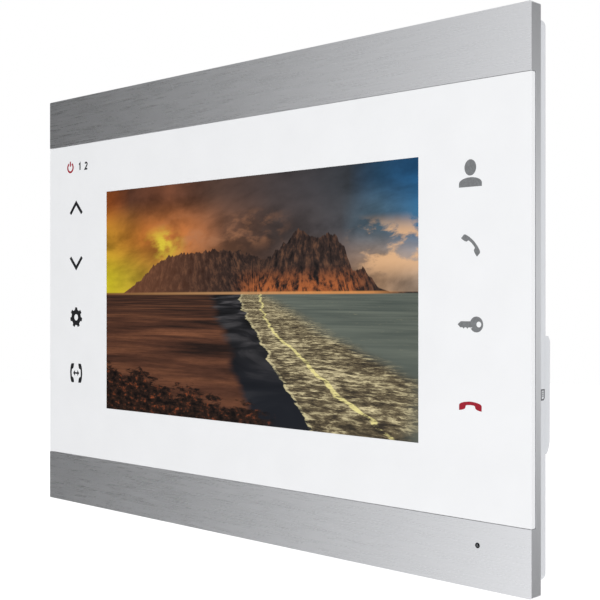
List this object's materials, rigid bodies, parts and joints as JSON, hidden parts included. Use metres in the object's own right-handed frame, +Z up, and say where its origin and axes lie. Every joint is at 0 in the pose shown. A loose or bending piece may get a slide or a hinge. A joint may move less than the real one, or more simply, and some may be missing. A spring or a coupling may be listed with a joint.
{
  "type": "video intercom monitor",
  "caption": "Flat wall monitor of a video door intercom: white glass with touch symbols between brushed metal bars, white rear housing, on a steel wall bracket.",
  "frame": {"origin": "centre of the wall bracket's four screw holes, on the wall plane, at the monitor's mid-height", "axes": "+X to the right seen from the front, +Z up, the front faces -Y and the wall is the plane y = 0"},
  "size_m": [0.232, 0.017, 0.166],
  "materials": {
    "brushed_aluminium": "brushed along the bars, bead-blasted sides",
    "white_glass": "clear glass with white paint on its back, polished",
    "black_tape": "matt",
    "black_foam": "open-cell foam",
    "bezel_steel": "tinned sheet",
    "display_glass": "polished",
    "white_film": "matt film",
    "clear_acrylic": "polished",
    "led_yellow": "moulded",
    "white_plastic": "fine spark-eroded texture",
    "amber_film": "polyimide film",
    "green_board": "solder mask",
    "chip_black": "moulded epoxy",
    "cable_white": "flat cable film",
    "grey_plastic": "moulded",
    "plated_steel": "zinc plated",
    "passive_tan": "ceramic",
    "capacitor_gold": "moulded",
    "ferrite_grey": "ferrite",
    "gold_contact": "gold plated",
    "ivory_plastic": "moulded nylon",
    "card_black": "moulded",
    "black_rubber": "soft",
    "lead_insulation": "insulated wire",
    "magnet_grey": "nickel plated",
    "cone_black": "pressed",
    "dark_screw": "black oxide",
    "bracket_steel": "zinc plated sheet"
  },
  "bodies": {
    "wall_bracket": {"wall_bracket": "bracket_steel"},
    "monitor": {"front_frame": "brushed_aluminium", "front_glass": "white_glass", "glass_adhesive": "black_tape", "display_gasket": "black_foam", "display_bezel": "bezel_steel", "display_panel": "display_glass", "display_films": "white_film", "display_light_guide": "clear_acrylic", "display_led_strip": "led_yellow", "display_tray": "white_plastic", "display_flex": "amber_film", "touch_board_left": "green_board", "touch_board_right": "green_board", "touch_diffuser_left": "white_plastic", "touch_diffuser_right": "white_plastic", "touch_leds": "led_yellow", "touch_chips": "chip_black", "touch_cable_left": "cable_white", "touch_cable_right": "cable_white", "inner_carrier": "grey_plastic", "carrier_screws": "plated_steel", "main_board": "green_board", "board_screws": "plated_steel", "processor": "chip_black", "processor_shield": "bezel_steel", "memory_chips": "chip_black", "board_passives": "passive_tan", "board_capacitors": "capacitor_gold", "board_inductors": "ferrite_grey", "backup_cell": "plated_steel", "backup_cell_clip": "gold_contact", "display_connector": "ivory_plastic", "touch_connectors": "ivory_plastic", "lead_headers": "ivory_plastic", "card_socket_base": "chip_black", "card_socket_shell": "bezel_steel", "card_spring": "plated_steel", "microphone": "bezel_steel", "microphone_boot": "black_rubber", "microphone_leads": "lead_insulation", "speaker_basket": "grey_plastic", "speaker_yoke": "plated_steel", "speaker_magnet": "magnet_grey", "speaker_surround": "black_rubber", "speaker_gasket": "black_foam", "speaker_leads": "lead_insulation", "door_socket_1": "ivory_plastic", "door_socket_2": "ivory_plastic", "monitor_socket": "ivory_plastic", "power_socket": "ivory_plastic", "socket_pins": "gold_contact", "rear_housing": "white_plastic", "housing_screws": "dark_screw"},
    "card_slider": {"card_slider": "chip_black"},
    "memory_card": {"memory_card": "card_black"},
    "speaker_cone": {"speaker_cone": "cone_black"}
  },
  "joints": [
    {"name": "lift_off", "type": "slide", "parent": "wall_bracket", "child": "monitor", "axis": [0, 0, 1], "range_m": [0, 0.0065]},
    {"name": "card_push", "type": "slide", "parent": "monitor", "child": "card_slider", "axis": [1, 0, 0], "range_m": [-0.0005, 0.0024]},
    {"name": "card_pull", "type": "slide", "parent": "card_slider", "child": "memory_card", "axis": [1, 0, 0], "range_m": [0, 0.014]},
    {"name": "cone_stroke", "type": "slide", "parent": "monitor", "child": "speaker_cone", "axis": [0, 1, 0], "range_m": [-0.0003, 0.0003], "stiffness_N_per_m": 900}
  ]
}
